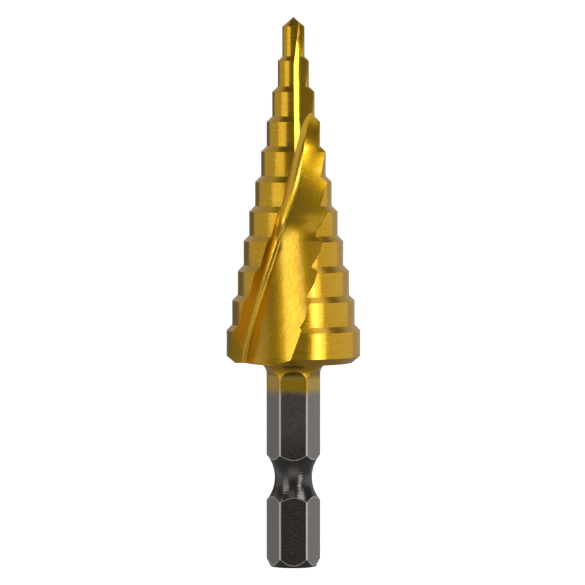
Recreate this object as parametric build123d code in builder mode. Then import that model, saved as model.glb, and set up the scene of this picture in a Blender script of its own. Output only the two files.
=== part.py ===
"""Step drill: a stepped, two-flute cone drill ground from one bar, on a quarter-inch hexagon shank.

Millimetres. The origin is the centre of the shank's end face, +Z points to the tip, and -Y is the
side whose shank flat and spiral flute face the front. The drill cuts turning clockwise, seen from
the shank, so its flutes are right-handed and each cutting edge is the left border of its flute.
"""
import os
from math import asin, ceil, cos, degrees, radians, sin

from build123d import *

# Shank: a round bar with six milled flats, for a quarter-inch quick-change holder
SHANK_LENGTH = 27.5          # shank end to the back face of the cone
BAR_DIAMETER = 7.25          # round bar, just under the hexagon's sharp corners
HEX_ACROSS_FLATS = 6.35
HEX_LENGTH = 25.2            # shank end to where the flats' corners run out into the round neck
FLAT_CUTTER_RADIUS = 2.0     # the milling cutter's radius, which rounds the top of each flat
END_CHAMFER_LENGTH = 1.07
END_CHAMFER_DEPTH = 0.55

# Ball groove round the shank
GROOVE_HEIGHT = 12.0         # centre of the groove above the shank end
GROOVE_FLOOR_DIAMETER = 5.05
GROOVE_RADIUS = 4.8

# Cone: steps from the back to the tip, each with a 45 degree shoulder at its upper end
STEP_DIAMETERS = (18.0, 16.5, 15.0, 13.4, 11.9, 10.3, 8.7, 7.2, 5.7, 4.2, 3.0)
LARGEST_STEP_HEIGHT = 5.1
STEP_HEIGHT = 4.0
POINT_HEIGHT = 1.3
BACK_CHAMFER_DEPTH = 1.05
BACK_CHAMFER_HEIGHT = 0.9
NECK_FILLET_RADIUS = 1.5

# Spiral flutes, ground along the cone. Depths are below the line through the steps' corners
FLUTE_COUNT = 2
FLUTE_LEAD = 129.0           # height of one full turn
BACK_EDGE_ANGLE = -77.5      # where the cutting edge leaves the back face, from the front (-Y)
FLUTE_DEPTH = 2.45           # foot of the rake face
FLUTE_FOOT_RADIUS = 0.7
FLUTE_FLOOR_RADIUS = 10.7    # the floor bulges outward between rake face and heel
BACK_DIP_DEPTH = 0.8         # the flute deepens towards the back face
BACK_DIP_HEIGHT = 12.5
BACK_HEEL_ANGLE = 73.0       # cutting edge to heel, round the drill, at the back face
HEEL_NARROWING = 0.4         # degrees that the heel comes closer with each millimetre of height
FLUTE_OVERHANG = 2.0         # how far the cut passes clear of the steel
SECTION_SPACING = 3.0        # at most, between the sections that the flute is lofted through

# Upper flute: shallower, with a wider foot and a flatter floor that faces away from the rake face
UPPER_FLUTE_HEIGHT = 16.5    # where the lower flute starts to change into it, above the back face
UPPER_BLEND_HEIGHT = 3.0
UPPER_BLEND_SPACING = 0.75   # at most, between the sections of that change
UPPER_DEPTH = 1.86
UPPER_FOOT_RADIUS = 1.8
UPPER_FLOOR_RADIUS = 30.0
UPPER_FLOOR_TILT = 15.0
LEAST_FLOOR_SWEEP = 12.0     # the floor spans at least this many degrees
UPPER_HEEL_ANGLE = 90.0      # so wide that its floor runs out of the steel before the heel's wall
WHEEL_RADIUS = 22.0          # the flute's upper end follows the grinding wheel out of the steel
WHEEL_EXIT_HEIGHT = 27.5     # start of that run-out, above the back face
WHEEL_EXIT_ANGLE = 40.0      # direction in which the wheel lifts, from the rake face
FLUTE_TOP_HEIGHT = 38.5      # where the wheel is clear of the steel, above the back face

# Straight gash that carries each cutting edge on from the spiral flute to the tip
GASH_START_HEIGHT = 28.3     # above the back face
GASH_FLOOR_ANGLE = 10.0      # direction that the floor faces at its foot, from the rake face
GASH_FLOOR_RADIUS = 3.5      # the floor bulges outward, like the flute's
GASH_FLOOR_SWEEP = 22.0
GASH_TIP_DISTANCE = 0.75     # floor to drill axis, at the point's apex
GASH_START_DISTANCE = 3.33   # floor to drill axis, at the lower end

# Notch that thins the web at the point
NOTCH_WIDTH = 0.62
NOTCH_LENGTH = 5.2
WEB_THICKNESS = 0.6

STEP_RADII = [diameter / 2 for diameter in STEP_DIAMETERS]
BAR_RADIUS = BAR_DIAMETER / 2
BACK_Z = SHANK_LENGTH
POINT_Z = BACK_Z + LARGEST_STEP_HEIGHT + STEP_HEIGHT * (len(STEP_RADII) - 1)
APEX_Z = POINT_Z + POINT_HEIGHT

# The flutes follow the line through the outer corners of the first and the last step
FIRST_CORNER_Z = BACK_Z + LARGEST_STEP_HEIGHT - (STEP_RADII[0] - STEP_RADII[1])
TAPER = (STEP_RADII[0] - STEP_RADII[-1]) / (POINT_Z - FIRST_CORNER_Z)


def turned_outline():
    """Half section of the turned blank, from the shank end up to the point."""
    outline = [
        (0, 0),
        (BAR_RADIUS - END_CHAMFER_DEPTH, 0),
        (BAR_RADIUS, END_CHAMFER_LENGTH),
        (BAR_RADIUS, BACK_Z),
        (STEP_RADII[0] - BACK_CHAMFER_DEPTH, BACK_Z),
        (STEP_RADII[0], BACK_Z + BACK_CHAMFER_HEIGHT),
    ]
    shoulder_z = BACK_Z + LARGEST_STEP_HEIGHT
    for radius, next_radius in zip(STEP_RADII, STEP_RADII[1:]):
        outline.append((radius, shoulder_z - (radius - next_radius)))
        outline.append((next_radius, shoulder_z))
        shoulder_z += STEP_HEIGHT
    return outline + [(STEP_RADII[-1], POINT_Z), (0, APEX_Z)]


def edge_angle(z):
    """Angle of the spiral cutting edge at height z, in degrees from +X."""
    return BACK_EDGE_ANGLE + 360 * (z - BACK_Z) / FLUTE_LEAD - 90


def corner_line_radius(z):
    """Radius at height z of the line through the steps' corners."""
    return STEP_RADII[0] - TAPER * (z - FIRST_CORNER_Z)


def edge_plane(z, angle, radius, lift=0.0):
    """Level plane at height z, with its origin on the cutting edge and its x axis outward."""
    lift_angle = radians(angle + WHEEL_EXIT_ANGLE)
    outward = Vector(cos(radians(angle)), sin(radians(angle)), 0)
    origin = outward * radius + Vector(cos(lift_angle), sin(lift_angle), 0) * lift + Vector(0, 0, z)
    return Plane(origin=origin, x_dir=outward, z_dir=(0, 0, 1))


def wheel_lift(z):
    """How far the grinding wheel has lifted out of the flute at height z."""
    climb = max(0.0, z - BACK_Z - WHEEL_EXIT_HEIGHT)
    return climb**2 / (2 * WHEEL_RADIUS)


def between(start, end, share):
    """Value a share of the way from start to end, easing in and out."""
    share = min(1.0, max(0.0, share))
    return start + (end - start) * share**2 * (3 - 2 * share)


def flute_section(z):
    """Face of the steel that the grinding wheel takes away at height z."""
    height = z - BACK_Z
    upper = (height - UPPER_FLUTE_HEIGHT) / UPPER_BLEND_HEIGHT
    dip = max(0.0, 1 - height / BACK_DIP_HEIGHT) ** 2
    depth = between(FLUTE_DEPTH + BACK_DIP_DEPTH * dip, UPPER_DEPTH, upper)
    foot_radius = between(FLUTE_FOOT_RADIUS, UPPER_FOOT_RADIUS, upper)
    floor_radius = between(FLUTE_FLOOR_RADIUS + BACK_DIP_DEPTH * dip, UPPER_FLOOR_RADIUS, upper)
    floor_tilt = between(0.0, UPPER_FLOOR_TILT, upper)
    heel_angle = between(BACK_HEEL_ANGLE - HEEL_NARROWING * height, UPPER_HEEL_ANGLE, upper)
    axis_distance = corner_line_radius(z)
    centre_x = -depth - floor_radius * cos(radians(floor_tilt))
    centre_y = -floor_radius * sin(radians(floor_tilt))
    # The heel's wall points at the drill's axis, and meets the floor arc at floor_end degrees
    heel_x = cos(radians(heel_angle))
    heel_y = sin(radians(heel_angle))
    offset = (centre_x + axis_distance) * heel_y - centre_y * heel_x
    floor_end = heel_angle + degrees(asin(max(-1.0, offset / floor_radius)))
    floor_end = max(floor_end, floor_tilt + LEAST_FLOOR_SWEEP)
    wall_top = STEP_RADII[0] + FLUTE_OVERHANG
    with BuildSketch(edge_plane(z, edge_angle(z), axis_distance, wheel_lift(z))) as section:
        with BuildLine():
            rake = Line((FLUTE_OVERHANG, 0), (-depth, 0))
            floor = CenterArc(
                (centre_x, centre_y), floor_radius, floor_tilt, floor_end - floor_tilt
            )
            heel = (wall_top * heel_x - axis_distance, wall_top * heel_y)
            Polyline(floor @ 1, heel, (FLUTE_OVERHANG, heel[1]), rake @ 0)
        face = make_face()
        fillet(face.vertices().sort_by_distance(rake @ 1)[0], foot_radius)
    return section.sketch


flute_bottom = BACK_Z - FLUTE_OVERHANG / 2
upper_start = BACK_Z + UPPER_FLUTE_HEIGHT
upper_end = upper_start + UPPER_BLEND_HEIGHT
flute_top = BACK_Z + FLUTE_TOP_HEIGHT

with BuildPart() as flute_cut:
    for bottom, top, spacing in (
        (flute_bottom, upper_start, SECTION_SPACING),
        (upper_start, upper_end, UPPER_BLEND_SPACING),
        (upper_end, flute_top, SECTION_SPACING),
    ):
        spans = ceil((top - bottom) / spacing)
        for index in range(spans + 1):
            z = bottom + (top - bottom) * index / spans
            add(flute_section(z))
        loft()

# One side of the tip: a straight gash from the spiral flute to the point, and the notch in the web
gash_bottom = BACK_Z + GASH_START_HEIGHT
gash_angle = edge_angle(gash_bottom)
gash_top = APEX_Z + FLUTE_OVERHANG
gash_slope = (GASH_START_DISTANCE - GASH_TIP_DISTANCE) / (APEX_Z - gash_bottom)
gash_reach = STEP_RADII[0]
gash_floor_x = cos(radians(GASH_FLOOR_ANGLE))
gash_floor_y = sin(radians(GASH_FLOOR_ANGLE))
gash_side_angle = GASH_FLOOR_ANGLE + GASH_FLOOR_SWEEP + 90

with BuildPart() as tip_cut:
    for z in (gash_bottom, gash_top):
        floor_distance = GASH_START_DISTANCE - gash_slope * (z - gash_bottom)
        foot_radius = floor_distance / gash_floor_x
        with BuildSketch(edge_plane(z, gash_angle, foot_radius)):
            with BuildLine():
                gash_rake = Line((gash_reach, 0), (0, 0))
                gash_floor = CenterArc(
                    (-GASH_FLOOR_RADIUS * gash_floor_x, -GASH_FLOOR_RADIUS * gash_floor_y),
                    GASH_FLOOR_RADIUS, GASH_FLOOR_ANGLE, GASH_FLOOR_SWEEP
                )
                gash_side = PolarLine(gash_floor @ 1, gash_reach, gash_side_angle)
                far_side = gash_side @ 1
                Polyline(far_side, (gash_reach, far_side.Y), gash_rake @ 0)
            make_face()
    loft(ruled=True)

tip_frame = edge_plane(0, gash_angle, 0)
across_plane = Plane(origin=(0, 0, 0), x_dir=tip_frame.y_dir, z_dir=tip_frame.x_dir)
along_plane = Plane(origin=(0, 0, 0), x_dir=tip_frame.x_dir, z_dir=-tip_frame.y_dir)
notch_bottom = POINT_Z - NOTCH_LENGTH
notch_widening = NOTCH_WIDTH / NOTCH_LENGTH
notch_rise = APEX_Z - notch_bottom

with BuildPart() as notch_cut:
    with BuildSketch(across_plane):
        with BuildLine():
            Polyline(
                (0, notch_bottom), (notch_widening * notch_rise, APEX_Z), (0, APEX_Z), close=True
            )
        make_face()
    extrude(amount=STEP_RADII[0], both=True)
    with BuildSketch(along_plane):
        with BuildLine():
            Polyline(
                (STEP_RADII[-1], notch_bottom),
                (STEP_RADII[0], notch_bottom),
                (STEP_RADII[0], APEX_Z),
                (WEB_THICKNESS / 2, APEX_Z),
                close=True,
            )
        make_face()
    extrude(amount=STEP_RADII[0], both=True, mode=Mode.INTERSECT)

# One flat of the hexagon: straight, then curving out of the bar with the cutter's radius
flat_distance = HEX_ACROSS_FLATS / 2
flat_top = HEX_LENGTH
cutter_reach = flat_distance + FLAT_CUTTER_RADIUS

with BuildPart() as flat_cut:
    with BuildSketch(Plane.XZ):
        with BuildLine():
            side = Line((flat_distance, -END_CHAMFER_LENGTH), (flat_distance, flat_top))
            curve = RadiusArc(
                side @ 1, (cutter_reach, flat_top + FLAT_CUTTER_RADIUS), FLAT_CUTTER_RADIUS
            )
            Polyline(curve @ 1, (cutter_reach, -END_CHAMFER_LENGTH), side @ 0)
        make_face()
    extrude(amount=BAR_DIAMETER, both=True)

groove_floor_radius = GROOVE_FLOOR_DIAMETER / 2

with BuildPart() as step_drill:
    with BuildSketch(Plane.XZ) as blank:
        with BuildLine():
            Polyline(*turned_outline(), close=True)
        make_face()
        fillet(blank.vertices().sort_by_distance((BAR_RADIUS, BACK_Z))[0], NECK_FILLET_RADIUS)
        with Locations((groove_floor_radius + GROOVE_RADIUS, GROOVE_HEIGHT)):
            Circle(GROOVE_RADIUS, mode=Mode.SUBTRACT)
    revolve(axis=Axis.Z)
    with PolarLocations(0, 6, start_angle=30):
        add(flat_cut.part, mode=Mode.SUBTRACT)
    with PolarLocations(0, FLUTE_COUNT):
        add(flute_cut.part, mode=Mode.SUBTRACT)
        add(tip_cut.part, mode=Mode.SUBTRACT)
        add(notch_cut.part, mode=Mode.SUBTRACT)

step_drill.part.label = "step_drill"
os.makedirs("parts", exist_ok=True)
export_step(step_drill.part, "parts/step_drill.step")
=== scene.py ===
"""Step drill on a pale studio sweep: material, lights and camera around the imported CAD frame."""
import math

import bpy
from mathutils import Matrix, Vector

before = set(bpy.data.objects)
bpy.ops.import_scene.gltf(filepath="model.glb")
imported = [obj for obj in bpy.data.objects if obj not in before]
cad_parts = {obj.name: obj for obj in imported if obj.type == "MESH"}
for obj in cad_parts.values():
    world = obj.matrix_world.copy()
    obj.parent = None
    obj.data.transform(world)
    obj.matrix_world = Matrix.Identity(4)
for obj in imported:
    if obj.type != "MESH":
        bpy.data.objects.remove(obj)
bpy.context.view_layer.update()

MM = 0.001
WHITE = (1, 1, 1, 1)

# Camera: stands in front of the drill, level with its upper steps
CAMERA_DISTANCE = 0.60
CAMERA_SIDE = -0.12 * MM
CAMERA_HEIGHT = 68 * MM
CAMERA_CLIP_START = 0.01
AIM_HEIGHT = 36.9 * MM
LENS_MM = 275.0
SENSOR_MM = 36.0

# Sweep: a paper floor that curves up into the backdrop
SWEEP_HALF_WIDTH = 3.0
SWEEP_FRONT = -3.0
SWEEP_BACK = 2.0
SWEEP_RADIUS = 0.8
SWEEP_TOP = 3.0
SWEEP_CURVE_FACES = 24
PAPER_COLOR = (0.88, 0.88, 0.88, 1)
PAPER_ROUGHNESS = 0.9
PAPER_SPECULAR_LEVEL = 0.1
PAPER_GLOW = 0.72

# Lights: all stand at one distance and aim at this height on the drill
LIGHT_DISTANCE = 0.9
LIGHT_TARGET_HEIGHT = 45 * MM

# Softboxes and reflecting panels: azimuth, elevation, width and height in degrees, brightness.
# Azimuth is measured from the camera's side towards +X
LIGHTS = {
    "right_softbox": (45, -9, 25, 13, 2.6),
    "right_bright_core": (42, -5, 6, 9, 3.5),
    "right_upper_softbox": (37, 14, 16, 9, 5.2),
    "right_high_softbox": (48, 50, 26, 40, 2.6),
    "left_softbox": (-50, 2, 38, 26, 0.8),
    "left_upper_softbox": (-46, 22, 30, 16, 1.9),
    "right_side_panel": (92, -2, 60, 22, 0.5),
    "right_high_panel": (98, 64, 22, 14, 0.9),
    "left_high_panel": (-88, 56, 22, 14, 0.9),
    "left_side_panel": (-98, -6, 52, 32, 0.32),
    "front_top_panel": (-12, 43, 30, 20, 0.45),
    "right_back_panel": (142, 10, 44, 60, 0.26),
    "left_back_panel": (-138, 38, 70, 44, 0.24),
    "back_panel": (180, 8, 40, 40, 0.17),
}

# Studio around the lights: brightness of the room, its ceiling and the white table top.
# Each change lies between two heights, or two depths towards the back, of a unit direction
ROOM_BRIGHTNESS = 0.13
CEILING_BRIGHTNESS = 0.1
TABLE_FRONT_BRIGHTNESS = 0.65
TABLE_BACK_BRIGHTNESS = 0.12
UNDER_DRILL_SHARE = 0.4
CEILING_RISE = (0.5, 0.85)
TABLE_EDGE_RISE = (-0.28, -0.12)
UNDER_DRILL_RISE = (-0.9, -0.4)
TABLE_FRONT_DEPTH = (-1.0, -0.55)

# Dimensions of the drill that its material follows, in millimetres and degrees
STEP_DIAMETERS = (18.0, 16.5, 15.0, 13.4, 11.9, 10.3, 8.7, 7.2, 5.7, 4.2, 3.0)
LARGEST_STEP_HEIGHT = 5.1
STEP_HEIGHT = 4.0
BACK_CHAMFER_HEIGHT = 0.9
FLUTE_LEAD = 129.0
BACK_EDGE_ANGLE = -77.5
SHANK_LENGTH = 27.5
BAR_RADIUS = 3.625
HEX_LENGTH = 25.2
NECK_FILLET_RADIUS = 1.5
END_CHAMFER_LENGTH = 1.07
END_CHAMFER_DEPTH = 0.55
GROOVE_HEIGHT = 12.0
GROOVE_FLOOR_RADIUS = 2.525
GROOVE_RADIUS = 4.8

# The first step is the taller one, and even steps counted down from its top start at this height
STEPS_BASE = SHANK_LENGTH + LARGEST_STEP_HEIGHT - STEP_HEIGHT
BACK_CHAMFER_TOP = SHANK_LENGTH + BACK_CHAMFER_HEIGHT
NECK_FILLET_EDGE = BAR_RADIUS + NECK_FILLET_RADIUS
SHANK_END_RADIUS = BAR_RADIUS - END_CHAMFER_DEPTH
END_CHAMFER_SLOPE = END_CHAMFER_DEPTH / END_CHAMFER_LENGTH
GROOVE_CENTRE = GROOVE_FLOOR_RADIUS + GROOVE_RADIUS
# Both cutting edges keep this angle, from +X or from -X, in coordinates that turn with the flutes
CUTTING_EDGE_TURN = BACK_EDGE_ANGLE + 90 - 360 * SHANK_LENGTH / FLUTE_LEAD

# Where one surface of the drill gives way to the next: start and end of each soft change, in
# millimetres of height, radius, depth or gap, but in degrees past the cutting edge for the foot
CONE_START = (BACK_CHAMFER_TOP, BACK_CHAMFER_TOP + 0.2)
GROUND_DEPTH = (0.12, 0.2)
FLUTE_FOOT_END = (20, 34)
TIP_GASH_START = (52, 58)
NECK_EDGE = (NECK_FILLET_EDGE, NECK_FILLET_EDGE + 0.3)
NECK_FILLET_START = (SHANK_LENGTH - 1.1, SHANK_LENGTH - 0.2)
RUN_OUT_START = (HEX_LENGTH - 0.05, HEX_LENGTH + 0.2)
CORNER_START = (BAR_RADIUS - 0.065, BAR_RADIUS - 0.015)
TURNED_GAP = (0.01, 0.04)
WORN_GAP = (0.05, 0.12)
UPPER_SHANK_START = (14, 20)
COATING_EDGE = (23.0, 24.4)

# A point on a corner of the front or back flat lies half its distance from the axis to the side
CORNER_FACING = 0.5
SIDE_FLATS_START = (CORNER_FACING - 0.01, CORNER_FACING + 0.01)
RUN_OUT_SIDE = (CORNER_FACING - 0.06, CORNER_FACING - 0.02)
CORNER_CLEARANCE = (0.08, 0.25)

# Machining lines: noise drawn out along the tool's path. Scales are per millimetre
LINE_NOISE_DETAIL = 4.0
LINE_NOISE_ROUGHNESS = 0.65
LINE_CONTRAST = (0.3, 0.7)
TURNED_LINE_SCALE = 9.0
TURNED_LINE_STRETCH = 0.06
FLUTE_LINE_SCALE = 6.0
FLUTE_LINE_STRETCH = 0.05

# Gold coating: colours on dark and light lines, near the flute's foot, and where it is thin on the neck,
# with painted light and shade there.
# Each pair of roughnesses is for dark and light lines
DARK_GOLD = (0.78, 0.40, 0.004, 1)
LIGHT_GOLD = (0.90, 0.54, 0.016, 1)
# Painted less saturated than the other gold, to offset the reflection of the rake face and the flute's
# foot in each other
FOOT_GOLD_AGAINST_REFLECTION = (0.76, 0.455, 0.02, 1)
# The thin coating is one colour on all flats: painted light on the front and back flats, painted shade
# on the side flats
PAINTED_LIGHT_THIN_GOLD_FRONT = (0.90, 0.55, 0.02, 1)
PAINTED_SHADE_THIN_GOLD_SIDE = (0.62, 0.38, 0.04, 1)
# Painted shade in a band where the front and back flats run out into the neck
PAINTED_SHADE_RUN_OUT = (0.26, 0.155, 0.008, 1)
TURNED_GOLD_ROUGHNESS = (0.21, 0.27)
GROUND_GOLD_ROUGHNESS = (0.32, 0.25)
TIP_GASH_ROUGHNESS = 0.18

# The coating's ragged edge on the shank
EDGE_NOISE_SCALE = 0.5
EDGE_WAVER = 0.7

# Bare steel: each pair of colours or roughnesses is for the dark and light spots of its mottle
# All six flats are one steel: the front and back flats are painted shade, darker still towards the
# bottom, and the side flats are painted light
PAINTED_SHADE_LOWER_FRONT_STEEL = ((0.055, 0.047, 0.041, 1), (0.105, 0.092, 0.081, 1))
PAINTED_SHADE_UPPER_FRONT_STEEL = ((0.13, 0.12, 0.105, 1), (0.19, 0.175, 0.155, 1))
PAINTED_LIGHT_SIDE_STEEL = ((0.25, 0.235, 0.225, 1), (0.31, 0.295, 0.285, 1))
TURNED_STEEL = (0.11, 0.10, 0.092, 1)
WORN_STEEL = (0.75, 0.71, 0.66, 1)
WORN_LINE_SHARE = 0.8
MOTTLE_SCALE = 4.5
MOTTLE_STRETCH = 0.5
MOTTLE_NOISE_DETAIL = 5.0
MOTTLE_NOISE_ROUGHNESS = 0.7
SPOT_CONTRAST = (0.35, 0.65)
GLOSS_CONTRAST = (0.3, 0.7)
FLAT_ROUGHNESS = (0.30, 0.40)
TURNED_STEEL_ROUGHNESS = 0.22
CORNER_ROUGHNESS = 0.38

# Cutter marks: depth of the machining lines, and coarse ridges round the shank's turned parts
MARK_DEPTH = 0.0012 * MM
RIDGE_DEPTH_SHARE = 4.0
RIDGE_TURN_PER_MM = 19.0
RIDGE_SWAY = 9.0
RIDGE_SWAY_SCALE = 0.8

# What is the same all over the drill
DRILL_FINISH = {"Metallic": 1.0, "Coat Weight": 0.45, "Coat IOR": 1.6, "Coat Roughness": 0.1}


class Nodes:
    """Short calls that add nodes to one material's or world's tree."""

    def __init__(self, tree):
        self.tree = tree

    def link(self, source, target):
        self.tree.links.new(source, target)

    def feed(self, socket, value):
        if isinstance(value, bpy.types.NodeSocket):
            self.link(value, socket)
        else:
            socket.default_value = value

    def add(self, kind, **settings):
        node = self.tree.nodes.new(kind)
        for key, value in settings.items():
            setattr(node, key, value)
        return node

    def math(self, operation, *values):
        node = self.add("ShaderNodeMath", operation=operation)
        for socket, value in zip(node.inputs, values):
            self.feed(socket, value)
        return node.outputs[0]

    def length(self, value):
        node = self.add("ShaderNodeVectorMath", operation="LENGTH")
        self.feed(node.inputs[0], value)
        return node.outputs["Value"]

    def scaled(self, value, factor):
        node = self.add("ShaderNodeVectorMath", operation="SCALE")
        self.feed(node.inputs[0], value)
        self.feed(node.inputs["Scale"], factor)
        return node.outputs["Vector"]

    def combine(self, x, y, z):
        node = self.add("ShaderNodeCombineXYZ")
        for socket, value in zip(node.inputs, (x, y, z)):
            self.feed(socket, value)
        return node.outputs[0]

    def separate(self, value):
        node = self.add("ShaderNodeSeparateXYZ")
        self.feed(node.inputs[0], value)
        return node.outputs

    def soft_step(self, value, low, high, to_low=0.0, to_high=1.0):
        """Smooth change from to_low to to_high as value goes from low to high."""
        node = self.add("ShaderNodeMapRange", interpolation_type="SMOOTHSTEP")
        for socket, number in zip(node.inputs, (value, low, high, to_low, to_high)):
            self.feed(socket, number)
        return node.outputs[0]

    def soft_drop(self, value, low, high, to_low=1.0):
        """Smooth change from to_low to nothing as value goes from low to high."""
        return self.soft_step(value, low, high, to_low, 0.0)

    def noise(self, place, scale, detail=3.0, roughness=0.5):
        node = self.add("ShaderNodeTexNoise")
        self.feed(node.inputs["Vector"], place)
        self.feed(node.inputs["Scale"], scale)
        self.feed(node.inputs["Detail"], detail)
        self.feed(node.inputs["Roughness"], roughness)
        return node.outputs["Fac"]

    def mix(self, share, first, second):
        """Blend of two numbers, which the Mix node takes in its third and fourth sockets."""
        node = self.add("ShaderNodeMix", data_type="FLOAT")
        for index, value in zip((0, 2, 3), (share, first, second)):
            self.feed(node.inputs[index], value)
        return node.outputs[0]

    def mix_color(self, share, first, second):
        """Blend of two colours, which the Mix node takes in its seventh and eighth sockets."""
        node = self.add("ShaderNodeMix", data_type="RGBA")
        for index, value in zip((0, 6, 7), (share, first, second)):
            self.feed(node.inputs[index], value)
        return node.outputs[2]

    def bump(self, height, distance):
        node = self.add("ShaderNodeBump")
        self.feed(node.inputs["Height"], height)
        self.feed(node.inputs["Distance"], distance)
        self.feed(node.inputs["Strength"], 1.0)
        return node.outputs[0]


def make_paper():
    paper = bpy.data.materials.new("pale_paper")
    paper.use_nodes = True
    surface = paper.node_tree.nodes["Principled BSDF"]
    surface.inputs["Base Color"].default_value = PAPER_COLOR
    surface.inputs["Roughness"].default_value = PAPER_ROUGHNESS
    surface.inputs["Specular IOR Level"].default_value = PAPER_SPECULAR_LEVEL
    surface.inputs["Emission Color"].default_value = WHITE
    surface.inputs["Emission Strength"].default_value = PAPER_GLOW
    return paper


def make_sweep():
    """Pale floor that curves up into the backdrop, and which the drill doesn't mirror."""
    profile = [(SWEEP_FRONT, 0.0)]
    for index in range(SWEEP_CURVE_FACES + 1):
        turn = math.pi / 2 * index / SWEEP_CURVE_FACES
        profile.append((SWEEP_BACK + SWEEP_RADIUS * math.sin(turn), SWEEP_RADIUS * (1 - math.cos(turn))))
    profile.append((SWEEP_BACK + SWEEP_RADIUS, SWEEP_TOP))
    vertices = [(x, y, z) for y, z in profile for x in (-SWEEP_HALF_WIDTH, SWEEP_HALF_WIDTH)]
    faces = [(2 * i, 2 * i + 1, 2 * i + 3, 2 * i + 2) for i in range(len(profile) - 1)]
    mesh = bpy.data.meshes.new("sweep")
    mesh.from_pydata(vertices, [], faces)
    mesh.polygons.foreach_set("use_smooth", [True] * len(mesh.polygons))
    mesh.materials.append(make_paper())
    sweep = bpy.data.objects.new("sweep", mesh)
    sweep.visible_glossy = False
    bpy.context.scene.collection.objects.link(sweep)


def make_camera():
    camera_data = bpy.data.cameras.new("camera")
    camera_data.lens = LENS_MM
    camera_data.sensor_width = SENSOR_MM
    camera_data.clip_start = CAMERA_CLIP_START
    camera = bpy.data.objects.new("camera", camera_data)
    bpy.context.scene.collection.objects.link(camera)
    camera.location = (CAMERA_SIDE, -CAMERA_DISTANCE, CAMERA_HEIGHT)
    aim = Vector((CAMERA_SIDE, 0, AIM_HEIGHT))
    camera.rotation_euler = (aim - camera.location).to_track_quat("-Z", "Y").to_euler()
    bpy.context.scene.camera = camera


def make_light(name, azimuth, elevation, width, height, brightness):
    """Softbox aimed at the drill, with its place and its apparent size in degrees."""
    light_data = bpy.data.lights.new(name, "AREA")
    light_data.shape = "RECTANGLE"
    light_data.size = 2 * LIGHT_DISTANCE * math.tan(math.radians(width / 2))
    light_data.size_y = 2 * LIGHT_DISTANCE * math.tan(math.radians(height / 2))
    light_data.energy = brightness * math.pi * light_data.size * light_data.size_y
    light = bpy.data.objects.new(name, light_data)
    light.visible_camera = False
    bpy.context.scene.collection.objects.link(light)
    turn = math.radians(azimuth)
    rise = math.radians(elevation)
    level = math.cos(rise)
    direction = Vector((math.sin(turn) * level, -math.cos(turn) * level, math.sin(rise)))
    light.location = Vector((0, 0, LIGHT_TARGET_HEIGHT)) + direction * LIGHT_DISTANCE
    light.rotation_euler = (-direction).to_track_quat("-Z", "Y").to_euler()


def make_world():
    """Dim room with a dark ceiling, and the glow of the white table top in front of the drill."""
    world = bpy.data.worlds.new("studio")
    world.use_nodes = True
    background = world.node_tree.nodes["Background"]
    background.inputs["Color"].default_value = WHITE
    s = Nodes(world.node_tree)
    _, back, up = s.separate(s.add("ShaderNodeTexCoord").outputs["Generated"])
    room = s.soft_step(up, *CEILING_RISE, ROOM_BRIGHTNESS, CEILING_BRIGHTNESS)
    table = s.soft_step(back, *TABLE_FRONT_DEPTH, TABLE_FRONT_BRIGHTNESS, TABLE_BACK_BRIGHTNESS)
    clear_of_drill = s.soft_step(up, *UNDER_DRILL_RISE, UNDER_DRILL_SHARE, 1.0)
    below = s.math("MULTIPLY", s.soft_drop(up, *TABLE_EDGE_RISE), clear_of_drill)
    s.link(s.math("MULTIPLY_ADD", below, table, room), background.inputs["Strength"])
    bpy.context.scene.world = world


def turned_radius(s, z):
    """Radius at height z of the stepped outline that the cone was turned to."""
    climb = s.math("DIVIDE", s.math("SUBTRACT", z, STEPS_BASE), STEP_HEIGHT)
    step = s.math("MAXIMUM", s.math("FLOOR", climb), 0.0)
    # A colour ramp looks up each step's radius, as red, and that of the step below, as green
    slots = 16
    full_color_radius = 10.0
    ramp = s.add("ShaderNodeValToRGB")
    ramp.color_ramp.interpolation = "CONSTANT"
    slot_middle = s.math("ADD", step, 0.5)
    s.link(s.math("DIVIDE", slot_middle, float(slots)), ramp.inputs[0])
    radii = [diameter / 2 for diameter in STEP_DIAMETERS]
    elements = ramp.color_ramp.elements
    while len(elements) < len(radii):
        elements.new(0.5)  # placed in the next loop
    for index, radius in enumerate(radii):
        radius_below = radii[max(index - 1, 0)]
        elements[index].position = index / slots
        elements[index].color = (radius / full_color_radius, radius_below / full_color_radius, 0, 1)
    split = s.add("ShaderNodeSeparateColor")
    s.link(ramp.outputs[0], split.inputs[0])
    wall = s.math("MULTIPLY", split.outputs[0], full_color_radius)
    # A 45 degree shoulder leads up from the step below
    step_bottom = s.math("MULTIPLY_ADD", step, STEP_HEIGHT, STEPS_BASE)
    rise = s.math("MAXIMUM", s.math("SUBTRACT", z, step_bottom), 0.0)
    shoulder = s.math("SUBTRACT", s.math("MULTIPLY", split.outputs[1], full_color_radius), rise)
    return s.math("MAXIMUM", wall, shoulder)


def twisted(s, x, y, z):
    """Level coordinates that turn with the flutes."""
    turn = s.math("MULTIPLY", z, -2 * math.pi / FLUTE_LEAD)
    cosine = s.math("COSINE", turn)
    sine = s.math("SINE", turn)
    across = s.math("SUBTRACT", s.math("MULTIPLY", x, cosine), s.math("MULTIPLY", y, sine))
    outward = s.math("ADD", s.math("MULTIPLY", x, sine), s.math("MULTIPLY", y, cosine))
    return across, outward


def shank_gap(s, radius, z):
    """Distance from the turned groove and end chamfer, which is zero on them and more on the flats."""
    above_groove = s.math("SUBTRACT", z, GROOVE_HEIGHT)
    to_centre = s.length(s.combine(s.math("SUBTRACT", radius, GROOVE_CENTRE), above_groove, 0.0))
    to_groove = s.math("SUBTRACT", to_centre, GROOVE_RADIUS)
    chamfer_radius = s.math("MULTIPLY_ADD", z, END_CHAMFER_SLOPE, SHANK_END_RADIUS)
    return s.math("MINIMUM", to_groove, s.math("SUBTRACT", chamfer_radius, radius))


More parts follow.
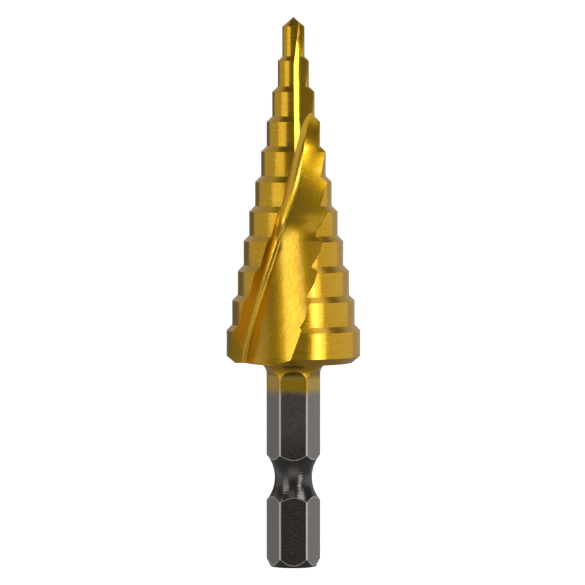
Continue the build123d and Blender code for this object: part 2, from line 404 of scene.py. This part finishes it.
class DrillPlace:
    """Sockets that say where a point lies on the drill: millimetres, and shares from 0 to 1."""

    def __init__(self, s):
        self.point = s.scaled(s.add("ShaderNodeTexCoord").outputs["Object"], 1 / MM)
        self.x, self.y, self.z = s.separate(self.point)
        self.radius = s.length(s.combine(self.x, self.y, 0.0))
        self.across, self.outward = twisted(s, self.x, self.y, self.z)
        self.on_cone = s.soft_step(self.z, *CONE_START)
        # Ground surfaces lie below the turned outline
        depth = s.math("SUBTRACT", turned_radius(s, self.z), self.radius)
        self.ground = s.math("MULTIPLY", s.soft_step(depth, *GROUND_DEPTH), self.on_cone)
        # From 0 in the middle of the front and back to 1 at the sides
        self.facing = s.math("DIVIDE", s.math("ABSOLUTE", self.x), self.radius)
        self.side_flats = s.soft_step(self.facing, *SIDE_FLATS_START)
        self.beyond_flats = s.soft_step(self.radius, *CORNER_START)
        self.gap = shank_gap(s, self.radius, self.z)
        self.turned_shank = s.soft_drop(self.gap, *TURNED_GAP)
        below_cone = s.math("SUBTRACT", 1.0, self.on_cone)
        self.on_shank = s.math("MULTIPLY", s.soft_drop(self.radius, *NECK_EDGE), below_cone)


def machining_lines(s, at):
    """Turning lines round the steps, and grinding lines along the flutes."""
    stretched = [s.math("MULTIPLY", value, TURNED_LINE_STRETCH) for value in (at.x, at.y)]
    turned_place = s.combine(*stretched, at.z)
    flute_place = s.combine(at.across, at.outward, s.math("MULTIPLY", at.z, FLUTE_LINE_STRETCH))
    turned_lines = s.noise(turned_place, TURNED_LINE_SCALE, LINE_NOISE_DETAIL, LINE_NOISE_ROUGHNESS)
    flute_lines = s.noise(flute_place, FLUTE_LINE_SCALE, LINE_NOISE_DETAIL, LINE_NOISE_ROUGHNESS)
    return s.mix(at.ground, turned_lines, flute_lines)


def thin_gold(s, at):
    """Colour of the thin coating on the neck, painted lighter on the front and back flats, darker on the
    side flats, with a band of painted shade where the flats run out, and the share of it at each point.
    """
    # Painted light on the front and back flats, painted shade on the side flats
    lit_and_shaded_flats = s.mix_color(at.side_flats, PAINTED_LIGHT_THIN_GOLD_FRONT, PAINTED_SHADE_THIN_GOLD_SIDE)
    # Painted shade in a band where the front and back flats run out above the hexagon
    above_hexagon = s.soft_step(at.z, *RUN_OUT_START)
    run_out_shade = s.math("MULTIPLY", above_hexagon, s.soft_drop(at.facing, *RUN_OUT_SIDE))
    color = s.mix_color(run_out_shade, lit_and_shaded_flats, PAINTED_SHADE_RUN_OUT)
    from_corner = s.math("ABSOLUTE", s.math("SUBTRACT", at.facing, CORNER_FACING))
    off_corner = s.soft_step(from_corner, *CORNER_CLEARANCE)
    in_fillet = s.math("MULTIPLY", s.soft_step(at.z, *NECK_FILLET_START), off_corner)
    on_flats = s.math("SUBTRACT", 1.0, at.beyond_flats)
    share = s.math("MULTIPLY", s.math("MAXIMUM", on_flats, in_fillet), at.on_shank)
    return color, share


def gold_coating(s, at, lines):
    """Colour and roughness of the titanium nitride."""
    contrast = s.soft_step(lines, *LINE_CONTRAST)
    color = s.mix_color(contrast, DARK_GOLD, LIGHT_GOLD)
    # The rake face and the flute's foot reflect each other, so their gold is painted less saturated to
    # offset the deeper orange of that reflection
    turn = s.math("DEGREES", s.math("ARCTANGENT", s.math("DIVIDE", at.outward, at.across)))
    past_edge = s.math("SUBTRACT", turn, CUTTING_EDGE_TURN)
    by_foot = s.math("MULTIPLY", at.ground, s.soft_drop(past_edge, *FLUTE_FOOT_END))
    color = s.mix_color(by_foot, color, FOOT_GOLD_AGAINST_REFLECTION)
    thin_color, thin_share = thin_gold(s, at)
    color = s.mix_color(thin_share, color, thin_color)
    in_tip_gash = s.soft_step(at.z, *TIP_GASH_START)
    ground_roughness = s.mix(contrast, *GROUND_GOLD_ROUGHNESS)
    ground_roughness = s.mix(in_tip_gash, ground_roughness, TIP_GASH_ROUGHNESS)
    roughness = s.mix(at.ground, s.mix(contrast, *TURNED_GOLD_ROUGHNESS), ground_roughness)
    return color, roughness


def bare_steel(s, at):
    """Colour and roughness of the shank: painted shade on the front and back flats, painted light on the
    side flats, worn corners.
    """
    stretched = [s.math("MULTIPLY", value, MOTTLE_STRETCH) for value in (at.x, at.y)]
    place = s.combine(*stretched, at.z)
    mottle = s.noise(place, MOTTLE_SCALE, MOTTLE_NOISE_DETAIL, MOTTLE_NOISE_ROUGHNESS)
    spots = s.soft_step(mottle, *SPOT_CONTRAST)
    # Painted shade on the front and back flats, darker still towards the bottom, and painted light on
    # the side flats
    shaded_lower_front = s.mix_color(spots, *PAINTED_SHADE_LOWER_FRONT_STEEL)
    shaded_upper_front = s.mix_color(spots, *PAINTED_SHADE_UPPER_FRONT_STEEL)
    front = s.mix_color(s.soft_step(at.z, *UPPER_SHANK_START), shaded_lower_front, shaded_upper_front)
    color = s.mix_color(at.side_flats, front, s.mix_color(spots, *PAINTED_LIGHT_SIDE_STEEL))
    worn_line = s.soft_drop(at.gap, *WORN_GAP, WORN_LINE_SHARE)
    worn = s.math("MAXIMUM", at.beyond_flats, worn_line)
    color = s.mix_color(worn, color, WORN_STEEL)
    color = s.mix_color(at.turned_shank, color, TURNED_STEEL)
    flat_roughness = s.soft_step(mottle, *GLOSS_CONTRAST, *FLAT_ROUGHNESS)
    roughness = s.mix(at.turned_shank, flat_roughness, TURNED_STEEL_ROUGHNESS)
    return color, roughness


def coated_share(s, at):
    """Share of the coating, which fades out along a ragged edge just below the neck."""
    wander = s.noise(at.point, EDGE_NOISE_SCALE)
    middle = s.math("SUBTRACT", at.z, EDGE_WAVER / 2)
    return s.soft_step(s.math("MULTIPLY_ADD", wander, EDGE_WAVER, middle), *COATING_EDGE)


def cutter_marks(s, at, lines, coated):
    """Fine lines on the cone, and coarse uneven ridges in the bare groove and end chamfer."""
    sway = s.math("MULTIPLY", s.noise(at.point, RIDGE_SWAY_SCALE, 2.0), RIDGE_SWAY)
    ridges = s.math("SINE", s.math("MULTIPLY_ADD", at.z, RIDGE_TURN_PER_MM, sway))
    ridged = s.math("MULTIPLY", s.math("SUBTRACT", 1.0, coated), at.turned_shank)
    fine_lines = s.math("MULTIPLY", lines, at.on_cone)
    height = s.math("MULTIPLY_ADD", s.math("MULTIPLY", ridges, ridged), RIDGE_DEPTH_SHARE, fine_lines)
    return s.bump(height, MARK_DEPTH)


def make_drill_material():
    """Titanium-nitride gold on the cone, bare dark steel on the shank, each with its marks."""
    material = bpy.data.materials.new("coated_steel")
    material.use_nodes = True
    surface = material.node_tree.nodes["Principled BSDF"]
    s = Nodes(material.node_tree)
    at = DrillPlace(s)
    lines = machining_lines(s, at)
    coated = coated_share(s, at)
    gold, gold_roughness = gold_coating(s, at, lines)
    steel, steel_roughness = bare_steel(s, at)
    on_corner = s.math("MULTIPLY", at.beyond_flats, at.on_shank)
    roughness = s.mix(on_corner, s.mix(coated, steel_roughness, gold_roughness), CORNER_ROUGHNESS)
    s.link(s.mix_color(coated, steel, gold), surface.inputs["Base Color"])
    s.link(roughness, surface.inputs["Roughness"])
    s.link(cutter_marks(s, at, lines, coated), surface.inputs["Normal"])
    for name, value in DRILL_FINISH.items():
        surface.inputs[name].default_value = value
    return material


make_camera()
make_sweep()
make_world()
for light_name, settings in LIGHTS.items():
    make_light(light_name, *settings)

drill_material = make_drill_material()
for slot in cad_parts["step_drill"].material_slots:
    slot.material = drill_material

bpy.context.scene.view_settings.view_transform = "Standard"
